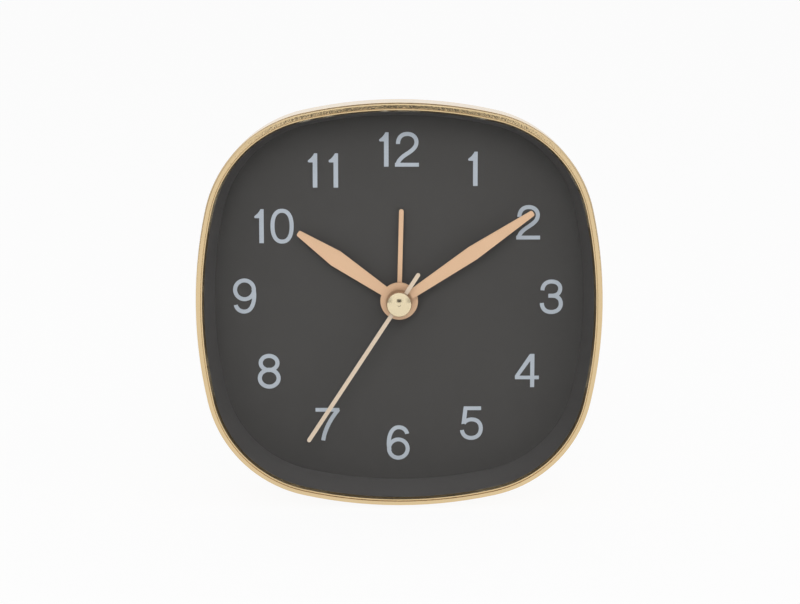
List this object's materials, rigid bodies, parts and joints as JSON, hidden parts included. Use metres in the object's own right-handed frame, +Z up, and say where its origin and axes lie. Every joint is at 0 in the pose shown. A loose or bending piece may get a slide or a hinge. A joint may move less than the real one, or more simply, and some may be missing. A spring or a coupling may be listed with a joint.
{
  "type": "table alarm clock",
  "caption": "Small free-standing quartz alarm clock: rounded-square gold case, deep charcoal dial with plain numerals, geared hands, rear setting knobs, switch and battery door.",
  "frame": {"origin": "middle of the base pad's underside", "axes": "+Z up, the dial faces -Y, +X to the right as the clock is read"},
  "size_m": [0.095, 0.0391, 0.0956],
  "materials": {
    "gold_case": "metallised, satin",
    "gold_bezel": "polished, plated",
    "lens": "clear",
    "dial_black": "matt charcoal",
    "hand_gold": "matt lacquer",
    "cap_brass": "polished",
    "rear_black": "fine moulded grain",
    "knob_black": "satin",
    "plate_plastic": "moulded",
    "wheel_plastic": "moulded acetal",
    "steel": "bright",
    "spring_brass": "rolled strip",
    "copper_wire": "enamelled wire",
    "bobbin_plastic": "moulded",
    "board_green": "solder mask",
    "chip_black": "moulded",
    "buzzer_black": "moulded",
    "battery_jacket": "lacquered",
    "pad_rubber": "matt"
  },
  "bodies": {
    "case": {"case_shell": "gold_case", "bezel": "gold_bezel", "lens": "lens", "dial_ring": "dial_black", "dial": "dial_black", "base_pad": "pad_rubber", "rear_cover": "rear_black", "rear_cover_screws": "steel", "main_plate": "plate_plastic", "middle_plate": "plate_plastic", "rear_plate": "plate_plastic", "front_pillars": "spring_brass", "rear_pillars": "spring_brass", "movement_screws": "steel", "stator": "steel", "coil_bobbin": "bobbin_plastic", "coil_winding": "copper_wire", "circuit_board": "board_green", "quartz_crystal": "steel", "control_chip": "chip_black", "buzzer": "buzzer_black", "alarm_contact": "spring_brass", "battery": "battery_jacket", "positive_contact": "spring_brass", "negative_contact": "spring_brass"},
    "rotor": {"rotor": "wheel_plastic"},
    "step": {"step_wheel": "wheel_plastic"},
    "second": {"second_wheel": "wheel_plastic", "second_hand": "hand_gold", "hub_cap": "cap_brass"},
    "third": {"third_wheel": "wheel_plastic"},
    "minute": {"centre_wheel": "wheel_plastic", "minute_tube": "wheel_plastic", "minute_hand": "hand_gold"},
    "time_setting": {"motion_wheel": "wheel_plastic", "time_set_knob": "knob_black"},
    "hour": {"hour_wheel": "wheel_plastic", "hour_hand": "hand_gold"},
    "alarm": {"alarm_wheel": "wheel_plastic", "alarm_hand": "hand_gold"},
    "alarm_setting": {"alarm_arbor": "wheel_plastic", "alarm_set_knob": "knob_black"},
    "switch": {"alarm_switch": "knob_black"},
    "door": {"battery_door": "rear_black"}
  },
  "joints": [
    {"name": "second_turn", "type": "hinge", "parent": "case", "child": "second", "pos_m": [0, 0.0028, 0.0481], "axis": [0, 1, 0], "continuous": true},
    {"name": "rotor_turn", "type": "hinge", "parent": "case", "child": "rotor", "pos_m": [-0.01962, 0.002, 0.04591], "axis": [0, 1, 0], "continuous": true},
    {"name": "step_turn", "type": "hinge", "parent": "case", "child": "step", "pos_m": [-0.01242, 0.004, 0.04591], "axis": [0, 1, 0], "continuous": true},
    {"name": "third_turn", "type": "hinge", "parent": "case", "child": "third", "pos_m": [0, 0.0016, 0.06034], "axis": [0, 1, 0], "continuous": true},
    {"name": "minute_turn", "type": "hinge", "parent": "case", "child": "minute", "pos_m": [0, 0.0004, 0.0481], "axis": [0, 1, 0], "continuous": true},
    {"name": "time_set_turn", "type": "hinge", "parent": "case", "child": "time_setting", "pos_m": [-0.01144, -0.0024, 0.0547], "axis": [0, 1, 0], "continuous": true},
    {"name": "hour_turn", "type": "hinge", "parent": "case", "child": "hour", "pos_m": [0, -0.0038, 0.0481], "axis": [0, 1, 0], "continuous": true},
    {"name": "alarm_set_turn", "type": "hinge", "parent": "case", "child": "alarm_setting", "pos_m": [0.01144, -0.0052, 0.0547], "axis": [0, 1, 0], "continuous": true},
    {"name": "alarm_turn", "type": "hinge", "parent": "case", "child": "alarm", "pos_m": [0, -0.0052, 0.0481], "axis": [0, 1, 0], "continuous": true},
    {"name": "alarm_switch_slide", "type": "slide", "parent": "case", "child": "switch", "axis": [1, 0, 0], "range_m": [0, 0.004]},
    {"name": "battery_door_slide", "type": "slide", "parent": "case", "child": "door", "axis": [0, 0, -1], "range_m": [0, 0.005]}
  ],
  "couplings": [
    {"joint": "step_turn", "follows": "second_turn", "ratio": -6},
    {"joint": "rotor_turn", "follows": "second_turn", "ratio": 30},
    {"joint": "third_turn", "follows": "second_turn", "ratio": -0.13333},
    {"joint": "minute_turn", "follows": "second_turn", "ratio": 0.016667},
    {"joint": "time_set_turn", "follows": "second_turn", "ratio": -0.0055556},
    {"joint": "hour_turn", "follows": "second_turn", "ratio": 0.0013889},
    {"joint": "alarm_turn", "follows": "alarm_set_turn", "ratio": -0.5}
  ]
}
